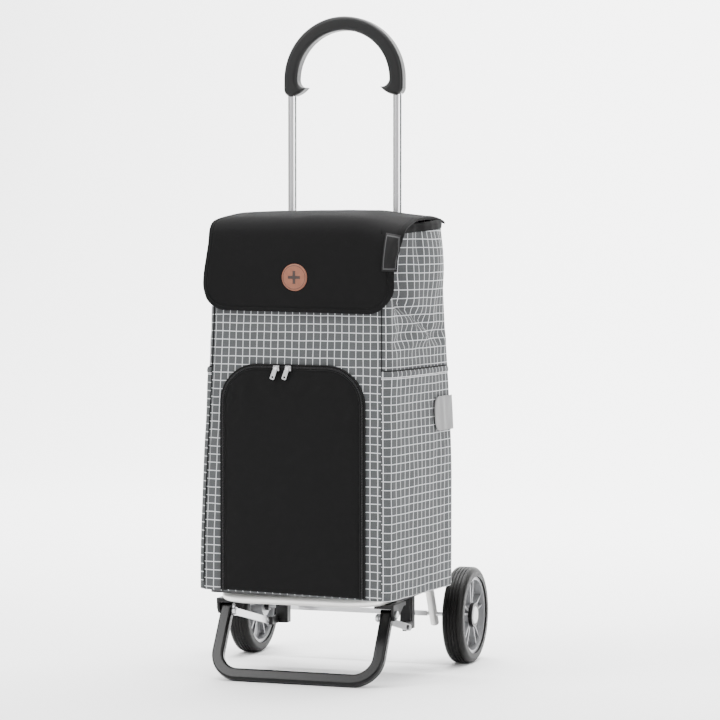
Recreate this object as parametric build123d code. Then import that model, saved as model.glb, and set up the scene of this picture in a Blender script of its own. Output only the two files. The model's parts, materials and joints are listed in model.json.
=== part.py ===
from build123d import *
import math
import os

# Two-wheeled shopping trolley. X to the user's right seen from the front, Y to the back, Z up.
# The origin is on the floor, at the middle of the trolley's footprint. Millimetres.

# --- driving dimensions: wheels and axle ---
WHEEL_R = 75.0
TYRE_W = 34.0
TYRE_BORE_R = 60.0
HALF_TRACK = 178.0
AXLE_Y = 126.7
AXLE_R = 4.0
BUSH_R = 6.0
HUB_R = 17.0
HUB_IN, HUB_OUT = -21.0, 10.0
HUB_RING_R = 19.0
HUB_CAP_R = 13.7
CAP_OUT = TYRE_W / 2
SPOKE_PAIRS = 5
SPOKE_SPREAD_DEG = 9.0

# --- uprights, handle and posts ---
TUBE_R = 7.0
TUBE_WALL = 1.4
UPRIGHT_X = 86.5
UPRIGHT_Y = AXLE_Y - 63.0
POST_X = 103.0
JOG_TOP, JOG_BOTTOM = 640.0, 600.0
TOTAL_H = 1007.0
GRIP_THICK = 22.0
GRIP_DEPTH = 26.0
GRIP_OUT_R = UPRIGHT_X + GRIP_THICK / 2
GRIP_IN_R = UPRIGHT_X - GRIP_THICK / 2
GRIP_CENTRE_Z = TOTAL_H - GRIP_OUT_R
GRIP_BOTTOM_Z = 884.0
GRIP_SOCKET = 38.0
PIN_R = 2.0
POST_SIZE = 20.0
POST_BOTTOM, POST_TOP = 59.0, 111.5
CROSS_BAR_Z = 670.0
CROSS_BAR_R = 6.0
CLAMP_SIZE = 22.0

# --- loading shelf ---
RAIL_X = 125.0
SHELF_Z = 125.0
SHELF_FRONT_Y = AXLE_Y - 290.0
SHELF_CORNER_R = 55.0
LEG_LEAN_DEG = 26.0
LEG_BOTTOM_Z = 60.0
STRAP_YS = (-95.0, 5.0)

# --- folding foot and its stays ---
FOOT_X = 128.0
FOOT_WIDE, FOOT_THICK = 18.5, 14.0
FOOT_EDGE_R = 4.0
FOOT_CORNER_R = 37.0
FOOT_LEAN_DEG = 31.0
FOOT_PIVOT_Y, FOOT_PIVOT_Z = AXLE_Y - 234.0, 103.0
FOOT_PIN_R = 3.0
FOOT_FLAT = 0.6
FOOT_WALL = 1.8
STAY_OFFSET = 6.5
STUD_Y, STUD_Z = AXLE_Y - 93.0, 64.0
STAY_X_IN, STAY_X_OUT = 113.3, 116.5
STAY_HALF_W = 5.2
RUNNING_CLEARANCE = 0.05

# --- bag, which hangs a little off the frame's middle ---
BAG_X = 14.0
BAG_HALF_W = 150.0
BAG_FRONT = AXLE_Y - 317.0
BAG_BACK = AXLE_Y - 77.0
BAG_BOTTOM = SHELF_Z + TUBE_R
BAG_TOP_FRONT, BAG_TOP_BACK = 684.0, 697.0
CLOTH = 3.0
THIN = 1.5
POCKET_X = -5.5
POCKET_HALF_W = 116.0
POCKET_TOP = 477.0
POCKET_BOTTOM = 134.0
POCKET_CORNER_R = 62.0
POCKET_THICK = 8.0
ZIP_W = 9.0
ZIP_THICK = 4.0
SIDE_POCKET_TOP = 463.0
ZIP_MEET_X = -19.5
SLIDER_SPREAD = 9.3
PULL_LEAN_DEG = 20.0

# --- flap ---
FLAP_HALF_W = 155.0
FLAP_BOTTOM = 552.0
FLAP_CORNER_R = 45.0
FLAP_GAP = 5.0
BINDING_THICK = 0.8
FLAP_HINGE_Y = BAG_BACK - 0.3
BADGE_X, BADGE_Z, BADGE_R = -1.5, 606.0, 20.0

SIDES = {"left": -1, "right": 1}


def box(x0, x1, y0, y1, z0, z1):
    size = Box(abs(x1 - x0), abs(y1 - y0), abs(z1 - z0))
    return Pos((x0 + x1) / 2, (y0 + y1) / 2, (z0 + z1) / 2) * size


def rod_x(radius, x0, x1, y, z):
    """A round rod along X."""
    return Pos((x0 + x1) / 2, y, z) * Rot(0, 90, 0) * Cylinder(radius, abs(x1 - x0))


def tube_x(outer, inner, x0, x1, y, z):
    return rod_x(outer, x0, x1, y, z) - rod_x(inner, x0, x1, y, z)


def plate_yz(points, x0, x1):
    """A flat plate with a Y-Z outline between two X planes."""
    outline = Plane.YZ * make_face(Polyline(*points, close=True))
    low = min(x0, x1)
    return Pos(low, 0, 0) * extrude(outline, abs(x1 - x0), dir=(1, 0, 0))


def plate_xz(face, y_front, y_back):
    """A plate with an outline drawn in X-Z, between two Y planes."""
    return Pos(0, y_front, 0) * extrude(Plane.XZ * face, y_back - y_front, dir=(0, 1, 0))


def hollow_sweep(points, radii, radius, wall, start_dir):
    """A bent round tube along straight runs joined by tangent arcs."""
    path = FilletPolyline(*points, radius=radii)
    start = Plane(origin=points[0], z_dir=start_dir)
    skin = sweep(start * Circle(radius), path=path)
    bore = sweep(start * Circle(radius - wall), path=path)
    return skin - bore


def both_sides(make):
    """The same small piece on the left and the right, as one group of separate solids."""
    return Compound([solid for side in SIDES.values() for solid in make(side).solids()])


def top_of_side(y):
    """Height of the bag's sloping top edge at Y."""
    share = (y - BAG_FRONT) / (BAG_BACK - BAG_FRONT)
    return BAG_TOP_FRONT + share * (BAG_TOP_BACK - BAG_TOP_FRONT)


# ---------------------------------------------------------------- handle and uprights
def handle_pin(side):
    reach = GRIP_DEPTH / 2 - 0.5
    return Pos(side * UPRIGHT_X, UPRIGHT_Y, GRIP_BOTTOM_Z + 16) * Rot(90, 0, 0) * Cylinder(PIN_R, 2 * reach)


def handle_lip(side):
    """The claw-shaped inward lip at one end of the ring."""
    outer, inner = side * GRIP_OUT_R, side * GRIP_IN_R
    edge = [
        Line((outer, GRIP_CENTRE_Z), (outer, GRIP_BOTTOM_Z + 12)),
        ThreePointArc((outer, GRIP_BOTTOM_Z + 12), (outer - side * 3, GRIP_BOTTOM_Z + 4),
                      (outer - side * 10, GRIP_BOTTOM_Z)),
        ThreePointArc((outer - side * 10, GRIP_BOTTOM_Z), (inner - side * 3, GRIP_BOTTOM_Z + 4),
                      (inner - side * 15, GRIP_BOTTOM_Z + 14)),
        ThreePointArc((inner - side * 15, GRIP_BOTTOM_Z + 14), (inner - side * 4, GRIP_BOTTOM_Z + 17),
                      (inner, GRIP_CENTRE_Z)),
        Line((inner, GRIP_CENTRE_Z), (outer, GRIP_CENTRE_Z)),
    ]
    return make_face(edge)


def handle_ring():
    upper_half = Pos(0, GRIP_CENTRE_Z + GRIP_OUT_R / 2) * Rectangle(3 * GRIP_OUT_R, GRIP_OUT_R)
    centre = Pos(0, GRIP_CENTRE_Z)
    arch = (centre * Circle(GRIP_OUT_R) - centre * Circle(GRIP_IN_R)) & upper_half
    profile = arch + handle_lip(-1) + handle_lip(1)
    ring = plate_xz(profile, UPRIGHT_Y - GRIP_DEPTH / 2, UPRIGHT_Y + GRIP_DEPTH / 2)
    rims = [e for e in ring.edges() if abs(abs(e.center().Y - UPRIGHT_Y) - GRIP_DEPTH / 2) < 0.01]
    ring = fillet(rims, 6.0)
    for side in SIDES.values():
        top = GRIP_BOTTOM_Z + GRIP_SOCKET
        socket = Pos(side * UPRIGHT_X, UPRIGHT_Y, (top + GRIP_BOTTOM_Z) / 2)
        ring -= socket * Cylinder(TUBE_R, GRIP_SOCKET)
        ring -= handle_pin(side)
    return ring


def upright_tube(side):
    points = [
        (side * UPRIGHT_X, UPRIGHT_Y, GRIP_BOTTOM_Z + GRIP_SOCKET - 1),
        (side * UPRIGHT_X, UPRIGHT_Y, JOG_TOP),
        (side * POST_X, UPRIGHT_Y, JOG_BOTTOM),
        (side * POST_X, UPRIGHT_Y, POST_BOTTOM + 5),
    ]
    return hollow_sweep(points, [60.0, 60.0], TUBE_R, TUBE_WALL, (0, 0, -1)) - handle_pin(side)


def upright_clamp(side):
    clamp = Pos(side * UPRIGHT_X, UPRIGHT_Y, CROSS_BAR_Z) * Box(CLAMP_SIZE, CLAMP_SIZE, 28)
    clamp = fillet(clamp.edges().filter_by(Axis.Z), 4.0)
    return clamp - Pos(side * UPRIGHT_X, UPRIGHT_Y, CROSS_BAR_Z) * Cylinder(TUBE_R, 40)


def cross_bar():
    reach = UPRIGHT_X - CLAMP_SIZE / 2
    return tube_x(CROSS_BAR_R, CROSS_BAR_R - 1.2, -reach, reach, UPRIGHT_Y, CROSS_BAR_Z)


def post(side):
    half = POST_SIZE / 2
    x, y = side * POST_X, UPRIGHT_Y
    block = box(x - half, x + half, y - half, y + half, POST_BOTTOM, POST_TOP)
    block = fillet(block.edges().filter_by(Axis.Z), 4.0)
    lug_tip = STUD_Y - 7.0
    lug = box(side * (POST_X + half - 6), side * (STAY_X_IN - 0.2), lug_tip, y - half + 3, POST_BOTTOM, STUD_Z + 7)
    tube_room = POST_TOP - POST_BOTTOM - 5
    socket = Pos(x, y, POST_TOP - tube_room / 2) * Cylinder(TUBE_R, tube_room)
    return block + lug - socket


# ---------------------------------------------------------------- shelf, axle
def leg_line():
    """Y and Z of the leg's bottom end and of its corner under the rail."""
    slope = math.tan(math.radians(LEG_LEAN_DEG))
    bottom = (AXLE_Y + slope * (WHEEL_R - LEG_BOTTOM_Z), LEG_BOTTOM_Z)
    corner = (AXLE_Y - slope * (SHELF_Z - WHEEL_R), SHELF_Z)
    return bottom, corner


def shelf_tube():
    (foot_y, foot_z), (corner_y, corner_z) = leg_line()
    right = [(RAIL_X, foot_y, foot_z), (RAIL_X, corner_y, corner_z), (RAIL_X, SHELF_FRONT_Y, SHELF_Z)]
    left = [(-x, y, z) for x, y, z in reversed(right)]
    radii = [28.0, SHELF_CORNER_R, SHELF_CORNER_R, 28.0]
    start_dir = (0, corner_y - foot_y, corner_z - foot_z)
    tube = hollow_sweep(right + left, radii, TUBE_R, TUBE_WALL, start_dir)
    return tube - rod_x(AXLE_R, -2 * RAIL_X, 2 * RAIL_X, AXLE_Y, WHEEL_R)


def leg_plug(side):
    (foot_y, foot_z), (corner_y, corner_z) = leg_line()
    down = Vector(0, foot_y - corner_y, foot_z - corner_z).normalized()
    seat = Plane(origin=(side * RAIL_X, foot_y, foot_z), z_dir=down)
    cap = extrude(seat * Circle(TUBE_R), 3.0)
    return fillet(cap.faces().sort_by(Axis.Z)[0].edges(), 1.2)


def shelf_straps():
    return Compound([box(-RAIL_X + 5, RAIL_X - 5, y - 11, y + 11, BAG_BOTTOM - 2, BAG_BOTTOM) for y in STRAP_YS])


def shelf_bracket(side):
    """Black bracket: a plate under the rail from the foot's pivot to the post, with a pivot ear."""
    low, high = POST_TOP + 0.5, SHELF_Z - TUBE_R - 0.2
    ear_in, ear_out = FOOT_X + FOOT_WIDE / 2 + 0.6, FOOT_X + FOOT_WIDE / 2 + 4.6
    half = POST_SIZE / 2
    inner = side * (POST_X + half - 2)
    rail_plate = box(inner, side * (RAIL_X - 2), FOOT_PIVOT_Y - 12, UPRIGHT_Y + half, low, high)
    rail_plate += box(inner, side * ear_out, FOOT_PIVOT_Y - 12, FOOT_PIVOT_Y + 46, low, high)
    collar = box(side * (POST_X - half), side * (POST_X + half), UPRIGHT_Y - half, UPRIGHT_Y + half, low - 0.5, high)
    web = [(FOOT_PIVOT_Y - 12, high), (FOOT_PIVOT_Y + 46, high), (FOOT_PIVOT_Y + 8, FOOT_PIVOT_Z - 7),
           (FOOT_PIVOT_Y - 6, FOOT_PIVOT_Z - 9), (FOOT_PIVOT_Y - 11, FOOT_PIVOT_Z)]
    ear = plate_yz(web, side * ear_in, side * ear_out)
    bracket = rail_plate + collar + ear
    bracket -= rod_x(FOOT_PIN_R, side * 100, side * 160, FOOT_PIVOT_Y, FOOT_PIVOT_Z)
    return bracket - Pos(side * POST_X, UPRIGHT_Y, low) * Cylinder(TUBE_R, 40)


def foot_pivot_pin(side):
    inner = FOOT_X - FOOT_WIDE / 2 + 0.2
    head = FOOT_X + FOOT_WIDE / 2 + 4.6
    shank = rod_x(FOOT_PIN_R, side * inner, side * head, FOOT_PIVOT_Y, FOOT_PIVOT_Z)
    return shank + rod_x(5.5, side * head, side * (head + 2.4), FOOT_PIVOT_Y, FOOT_PIVOT_Z)


def stay_stud(side):
    neck = rod_x(2.0, side * (STAY_X_IN - 0.2), side * (STAY_X_OUT + 0.3), STUD_Y, STUD_Z)
    return neck + rod_x(4.8, side * (STAY_X_OUT + 0.3), side * (STAY_X_OUT + 1.5), STUD_Y, STUD_Z)


def axle_rod():
    reach = HALF_TRACK + HUB_OUT + 2
    return rod_x(AXLE_R, -reach, reach, AXLE_Y, WHEEL_R)


def axle_brace():
    """Flat bar between the legs, just in front of the axle, with two oval slots."""
    bar_y = AXLE_Y - AXLE_R - 1.2
    bar = Pos(0, bar_y, WHEEL_R) * Box(2 * (RAIL_X - TUBE_R - 1), 2, 8)
    for side in SIDES.values():
        slot = extrude(Plane.XZ * SlotOverall(20, 3.6), 6, both=True)
        bar -= Pos(side * 88.0, bar_y, WHEEL_R) * slot
    return bar


def axle_spacer(side):
    hub_face = HALF_TRACK + HUB_IN
    return tube_x(8.0, AXLE_R, side * (hub_face - 7), side * (hub_face - 0.4), AXLE_Y, WHEEL_R)


def axle_clip(side):
    hub_face = HALF_TRACK + HUB_OUT
    return tube_x(8.0, AXLE_R, side * (hub_face + 0.3), side * (hub_face + 1.3), AXLE_Y, WHEEL_R)


# ---------------------------------------------------------------- wheels
# Each wheel piece is made at the origin with its outer side towards +X, then placed.
def place_wheel(piece, side):
    outward = piece if side > 0 else mirror(piece, about=Plane.YZ)
    return Pos(side * HALF_TRACK, AXLE_Y, WHEEL_R) * outward


def tyre():
    section = Pos(0, (WHEEL_R + TYRE_BORE_R) / 2) * Rectangle(TYRE_W, WHEEL_R - TYRE_BORE_R)
    section = fillet(section.vertices().sort_by(Axis.Y)[-2:], 8.0)
    for groove_x in (-7.5, -2.5, 2.5, 7.5):
        section -= Pos(groove_x, WHEEL_R) * Rectangle(1.4, 3.0)
    return revolve(section, Axis.X)


def rim():
    barrel = tube_x(TYRE_BORE_R, TYRE_BORE_R - 5, -14, 14, 0, 0)
    web = rod_x(TYRE_BORE_R - 4, -3, 0, 0, 0)
    hub = rod_x(HUB_R, HUB_IN, HUB_OUT, 0, 0)
    wheel = barrel + web + hub
    length = TYRE_BORE_R - 3 - HUB_R + 3
    for pair in range(SPOKE_PAIRS):
        for offset in (-SPOKE_SPREAD_DEG, SPOKE_SPREAD_DEG):
            rib = Pos(0, 0, HUB_R - 3 + length / 2) * Box(20, 3, length)
            wheel += Rot(pair * 360 / SPOKE_PAIRS + offset, 0, 0) * rib
    return wheel - rod_x(BUSH_R, -40, 40, 0, 0)


def bush():
    return tube_x(BUSH_R, AXLE_R + RUNNING_CLEARANCE, HUB_IN, HUB_OUT, 0, 0)


def hub_ring():
    ring = tube_x(HUB_RING_R, HUB_CAP_R, HUB_OUT, CAP_OUT - 1, 0, 0)
    rim_edges = [e for e in ring.edges() if e.center().X > CAP_OUT - 1.5]
    return fillet(rim_edges, 1.0)


def hub_cap():
    cap = rod_x(HUB_CAP_R, HUB_OUT + 2.4, CAP_OUT, 0, 0)
    return fillet([e for e in cap.edges() if e.center().X > CAP_OUT - 0.5], 2.0)


# ---------------------------------------------------------------- foot and stays
def down_the_leg():
    lean = math.radians(FOOT_LEAN_DEG)
    return Vector(0, -math.sin(lean), -math.cos(lean))


def foot_loop():
    lean = math.radians(FOOT_LEAN_DEG)
    half_wide, half_thick = FOOT_WIDE / 2 - FOOT_EDGE_R, FOOT_THICK / 2 - FOOT_EDGE_R
    bar_z = half_wide * math.cos(lean) + half_thick * math.sin(lean) + FOOT_EDGE_R - FOOT_FLAT
    length = (FOOT_PIVOT_Z - bar_z) / math.cos(lean)
    points = [(FOOT_X, 0, 0), (FOOT_X, 0, -length), (-FOOT_X, 0, -length), (-FOOT_X, 0, 0)]
    path = FilletPolyline(*points, radius=[FOOT_CORNER_R, FOOT_CORNER_R])
    start = Plane(origin=points[0], x_dir=(1, 0, 0), z_dir=(0, 0, -1))
    loop = sweep(start * RectangleRounded(FOOT_WIDE, FOOT_THICK, FOOT_EDGE_R), path=path)
    bore_size = (FOOT_WIDE - 2 * FOOT_WALL, FOOT_THICK - 2 * FOOT_WALL)
    loop -= sweep(start * RectangleRounded(*bore_size, FOOT_EDGE_R - FOOT_WALL), path=path)
    for side in SIDES.values():
        eye = rod_x(FOOT_THICK / 2, side * (FOOT_X - FOOT_WIDE / 2), side * (FOOT_X + FOOT_WIDE / 2), 0, 0)
        loop += eye
    loop -= rod_x(FOOT_PIN_R + RUNNING_CLEARANCE, -200, 200, 0, 0)
    loop = Pos(0, FOOT_PIVOT_Y, FOOT_PIVOT_Z) * Rot(-FOOT_LEAN_DEG, 0, 0) * loop
    return loop - box(-200, 200, -300, 100, -20, 0)


def stay_front():
    """The stay's pivot on the foot leg."""
    return Vector(0, FOOT_PIVOT_Y, FOOT_PIVOT_Z) + down_the_leg() * STAY_OFFSET


def foot_stud(side):
    at = stay_front()
    face = FOOT_X - FOOT_WIDE / 2
    stud = rod_x(4.0, side * face, side * (STAY_X_OUT + 0.3), at.Y, at.Z)
    stud += rod_x(2.45, side * (STAY_X_OUT + 0.3), side * (STAY_X_IN - 0.3), at.Y, at.Z)
    return stud + rod_x(4.8, side * (STAY_X_IN - 0.3), side * (STAY_X_IN - 1.8), at.Y, at.Z)


def stay(side):
    """Flat steel stay with a round eye at the foot and a slot that slides on the post's stud."""
    front = stay_front()
    rear = Vector(0, STUD_Y, STUD_Z)
    along = rear - front
    reach = along.length
    strip = Pos(reach / 2, 0) * SlotCenterToCenter(reach, 2 * STAY_HALF_W)
    strip += Circle(STAY_HALF_W + 1.2)
    strip -= Circle(2.5)
    slot_rear, slot_front = reach - 1.1, reach - 12.5
    strip -= Pos((slot_rear + slot_front) / 2, 0) * SlotCenterToCenter(slot_rear - slot_front, 6.4)
    low = min(side * STAY_X_IN, side * STAY_X_OUT)
    seat = Plane(origin=(low, front.Y, front.Z), x_dir=along.normalized(), z_dir=(1, 0, 0))
    return extrude(seat * strip, STAY_X_OUT - STAY_X_IN)


# ---------------------------------------------------------------- bag
def bag_front():
    return box(-BAG_HALF_W, BAG_HALF_W, BAG_FRONT, BAG_FRONT + CLOTH, BAG_BOTTOM, BAG_TOP_FRONT)


def bag_back():
    return box(-BAG_HALF_W, BAG_HALF_W, BAG_BACK - CLOTH, BAG_BACK, BAG_BOTTOM, BAG_TOP_BACK)


def bag_side(side):
    front, back = BAG_FRONT + CLOTH, BAG_BACK - CLOTH
    outline = [(front, BAG_BOTTOM), (back, BAG_BOTTOM), (back, top_of_side(back)), (front, top_of_side(front))]
    return plate_yz(outline, side * (BAG_HALF_W - CLOTH), side * BAG_HALF_W)


def bag_base():
    inside = BAG_HALF_W - CLOTH
    return box(-inside, inside, BAG_FRONT + CLOTH, BAG_BACK - CLOTH, BAG_BOTTOM, BAG_BOTTOM + CLOTH)


def base_board():
    half = BAG_HALF_W - CLOTH - 5
    board = box(-half, half, BAG_FRONT + 6, BAG_BACK - 6, BAG_BOTTOM + CLOTH, BAG_BOTTOM + CLOTH + 4)
    return fillet(board.edges().filter_by(Axis.Z), 12.0)


def mouth_hem():
    front, back = BAG_FRONT + CLOTH, BAG_BACK
    strips = []
    for side in SIDES.values():
        outline = [(front, top_of_side(front) - 14), (back, top_of_side(back) - 14),
                   (back, top_of_side(back)), (front, top_of_side(front))]
        strips.append(plate_yz(outline, side * BAG_HALF_W, side * (BAG_HALF_W + 1.2)))
    strips.append(box(-BAG_HALF_W, BAG_HALF_W, BAG_BACK, BAG_BACK + 1.2, BAG_TOP_BACK - 14, BAG_TOP_BACK))
    return Compound(strips)


def seam_cord(side):
    x, y = side * (BAG_HALF_W + 1.2), BAG_FRONT - 1.2
    height = BAG_TOP_FRONT - BAG_BOTTOM - 4
    return Pos(x, y, BAG_BOTTOM + 2 + height / 2) * Cylinder(1.5, height)


def pocket_outline(inset):
    """The pocket's outline, round at the top corners, drawn in by the inset."""
    half, top = POCKET_HALF_W - inset, POCKET_TOP - inset
    height = top - POCKET_BOTTOM
    face = Pos(POCKET_X, POCKET_BOTTOM + height / 2) * Rectangle(2 * half, height)
    return fillet(face.vertices().sort_by(Axis.Y)[-2:], POCKET_CORNER_R - inset)


def front_pocket():
    pocket = plate_xz(pocket_outline(ZIP_W), BAG_FRONT - POCKET_THICK, BAG_FRONT)
    rim_edges = [e for e in pocket.edges() if abs(e.center().Y - BAG_FRONT + POCKET_THICK) < 0.01]
    return fillet(rim_edges, 3.0)


def zip_tape():
    return plate_xz(pocket_outline(0) - pocket_outline(ZIP_W), BAG_FRONT - ZIP_THICK, BAG_FRONT)


def side_pocket(side):
    x0, x1 = side * BAG_HALF_W, side * (BAG_HALF_W + THIN)
    return box(x0, x1, BAG_FRONT + 2, BAG_BACK - 1, BAG_BOTTOM + 2, SIDE_POCKET_TOP)


def reflector(side):
    """Reflective patch, straight at the back seam and round in front."""
    width, height, centre_z = 66.0, 52.0, 391.0
    back = BAG_BACK - 1
    patch = Pos(back - width / 2, centre_z) * Rectangle(width, height)
    patch = fillet(patch.vertices().sort_by(Axis.X)[:2], 18.0)
    solid = extrude(Plane.YZ * patch, 0.8, dir=(1, 0, 0))
    x0 = BAG_HALF_W + THIN
    return Pos(x0 if side > 0 else -x0 - 0.8, 0, 0) * solid


def hang_strap(side):
    """Webbing loop from the back panel round the cross bar."""
    x0, x1 = side * 32, side * 58
    outer, inner = CROSS_BAR_R + 2.3, CROSS_BAR_R + 0.2
    loop = tube_x(outer, inner, x0, x1, UPRIGHT_Y, CROSS_BAR_Z)
    tail = box(x0, x1, BAG_BACK, BAG_BACK + 2, CROSS_BAR_Z - 60, CROSS_BAR_Z + 6)
    bridge = box(x0, x1, BAG_BACK, UPRIGHT_Y - CROSS_BAR_R - 1, CROSS_BAR_Z - 1, CROSS_BAR_Z + 1)
    return loop + tail + bridge


def closure_loop():
    return box(-40, 40, BAG_FRONT - 1.3, BAG_FRONT, FLAP_BOTTOM + 14, FLAP_BOTTOM + 39)


# ---------------------------------------------------------------- zip sliders and pulls
def slider_x(side):
    return ZIP_MEET_X + side * SLIDER_SPREAD


PULL_Y = BAG_FRONT - ZIP_THICK - 5.6
PULL_Z = POCKET_TOP - ZIP_W / 2


def zip_slider(side):
    x = slider_x(side)
    body_back = BAG_FRONT - ZIP_THICK - 0.2
    body = box(x - 4.5, x + 4.5, body_back - 2.8, body_back, PULL_Z - 4, PULL_Z + 4)
    lean = Pos(x, PULL_Y, PULL_Z) * Rot(0, PULL_LEAN_DEG, 0)
    for end in SIDES.values():
        body += lean * Pos(end * 3.0, 1.2, 0) * Box(1.0, 4.6, 3.0)
    return body + lean * Rot(0, 90, 0) * Cylinder(1.0, 6.5)


def zip_pull(side):
    """Flat tab with an eye on the slider's little bar and a round hole near its end."""
    eye = Rot(0, 90, 0) * Cylinder(1.8, 4.4)
    tab = Pos(0, 0, -9.4) * Box(6.8, 1.4, 16.0)
    tab = fillet(tab.edges().filter_by(Axis.Y), 1.8)
    neck = Pos(0, 0, -3.0) * Box(4.2, 1.4, 5.0)
    bar_room = Rot(0, 90, 0) * Cylinder(1.0 + RUNNING_CLEARANCE, 30)
    hole = Pos(0, 0, -13.8) * Rot(90, 0, 0) * Cylinder(1.7, 6)
    ear_room = Pos(0, 0, 0) * (Box(20, 8, 6) - Box(4.6, 8, 6))
    pull = eye + neck + (tab - ear_room) - bar_room - hole
    return Pos(slider_x(side), PULL_Y, PULL_Z) * Rot(0, PULL_LEAN_DEG, 0) * pull


# ---------------------------------------------------------------- flap
FLAP_INNER_Y = BAG_FRONT - FLAP_GAP
FLAP_OUTER_Y = FLAP_INNER_Y - CLOTH
FLAP_TOP_FRONT = BAG_TOP_FRONT + 5.0
FLAP_TOP_BACK = BAG_TOP_BACK + 4.0


def flap():
    top = [(FLAP_HINGE_Y, FLAP_TOP_BACK), (FLAP_OUTER_Y, FLAP_TOP_FRONT), (FLAP_OUTER_Y, FLAP_TOP_FRONT - 8),
           (FLAP_INNER_Y, FLAP_TOP_FRONT - 8), (FLAP_INNER_Y, FLAP_TOP_FRONT - CLOTH),
           (FLAP_HINGE_Y, FLAP_TOP_BACK - CLOTH)]
    lid = plate_yz(top, -FLAP_HALF_W, FLAP_HALF_W)
    height = FLAP_TOP_FRONT - 8 - FLAP_BOTTOM
    drop = Pos(0, FLAP_BOTTOM + height / 2) * Rectangle(2 * FLAP_HALF_W, height)
    drop = fillet(drop.vertices().sort_by(Axis.Y)[:2], FLAP_CORNER_R)
    return lid + plate_xz(drop, FLAP_OUTER_Y, FLAP_INNER_Y)


def flap_binding():
    """Bound lower edge of the flap's front drop, on its face."""
    height = FLAP_TOP_FRONT - 20 - FLAP_BOTTOM
    full = Pos(0, FLAP_BOTTOM + height / 2) * Rectangle(2 * FLAP_HALF_W, height)
    full = fillet(full.vertices().sort_by(Axis.Y)[:2], FLAP_CORNER_R)
    inner_height = height + 20
    inner = Pos(0, FLAP_BOTTOM + 9 + inner_height / 2) * Rectangle(2 * FLAP_HALF_W - 18, inner_height)
    inner = fillet(inner.vertices().sort_by(Axis.Y)[:2], FLAP_CORNER_R - 9)
    return plate_xz(full - inner, FLAP_OUTER_Y - BINDING_THICK, FLAP_OUTER_Y)


def badge():
    disc = Pos(BADGE_X, FLAP_OUTER_Y - 1, BADGE_Z) * Rot(90, 0, 0) * Cylinder(BADGE_R, 2)
    groove = Pos(BADGE_X, FLAP_OUTER_Y - 2, BADGE_Z) * Rot(90, 0, 0)
    return disc - groove * (Cylinder(BADGE_R - 2.0, 0.8) - Cylinder(BADGE_R - 2.8, 0.8))


def side_label():
    """Folded woven label that lies over the flap's bound edge."""
    face = FLAP_OUTER_Y - BINDING_THICK
    return box(FLAP_HALF_W - 20, FLAP_HALF_W, face - 1.2, face, 618.0, 670.0)


def closure_hook():
    return box(-40, 40, FLAP_INNER_Y, FLAP_INNER_Y + 1.3, FLAP_BOTTOM + 14, FLAP_BOTTOM + 39)


def frame_nodes():
    nodes = {
        "handle_ring": handle_ring(),
        "handle_pins": both_sides(handle_pin),
        "cross_bar": cross_bar(),
        "cross_bar_clamps": both_sides(upright_clamp),
        "shelf_tube": shelf_tube(),
        "leg_plugs": both_sides(leg_plug),
        "shelf_straps": shelf_straps(),
        "foot_pivot_pins": both_sides(foot_pivot_pin),
        "stay_studs": both_sides(stay_stud),
        "axle_rod": axle_rod(),
        "axle_brace": axle_brace(),
        "axle_spacers": both_sides(axle_spacer),
        "axle_clips": both_sides(axle_clip),
        "foot_loop": foot_loop(),
        "foot_studs": both_sides(foot_stud),
    }
    handed = {"upright_tube": upright_tube, "post": post, "shelf_bracket": shelf_bracket, "stay": stay}
    for name, make in handed.items():
        for hand, side in SIDES.items():
            nodes[f"{name}_{hand}"] = make(side)
    return nodes


def wheel_nodes():
    pieces = {"tyre": tyre(), "rim": rim(), "bush": bush(), "hub_ring": hub_ring(), "hub_cap": hub_cap()}
    return {
        f"{name}_{hand}": place_wheel(piece, side)
        for name, piece in pieces.items()
        for hand, side in SIDES.items()
    }


def bag_nodes():
    nodes = {
        "bag_front": bag_front(),
        "bag_back": bag_back(),
        "bag_base": bag_base(),
        "base_board": base_board(),
        "mouth_hem": mouth_hem(),
        "seam_piping": both_sides(seam_cord),
        "front_pocket": front_pocket(),
        "zip_tape": zip_tape(),
        "reflectors": both_sides(reflector),
        "hang_straps": both_sides(hang_strap),
        "closure_loop": closure_loop(),
        "flap": flap(),
        "flap_binding": flap_binding(),
        "badge": badge(),
        "side_label": side_label(),
        "closure_hook": closure_hook(),
    }
    handed = {"bag_side": bag_side, "side_pocket": side_pocket, "zip_slider": zip_slider, "zip_pull": zip_pull}
    for name, make in handed.items():
        for hand, side in SIDES.items():
            nodes[f"{name}_{hand}"] = make(side)
    return {name: Pos(BAG_X, 0, 0) * shape for name, shape in nodes.items()}


os.makedirs("parts", exist_ok=True)
for node, shape in {**frame_nodes(), **wheel_nodes(), **bag_nodes()}.items():
    export_step(shape, f"parts/{node}.step")
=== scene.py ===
import json
import math

import bpy
from mathutils import Matrix, Vector, noise


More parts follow.
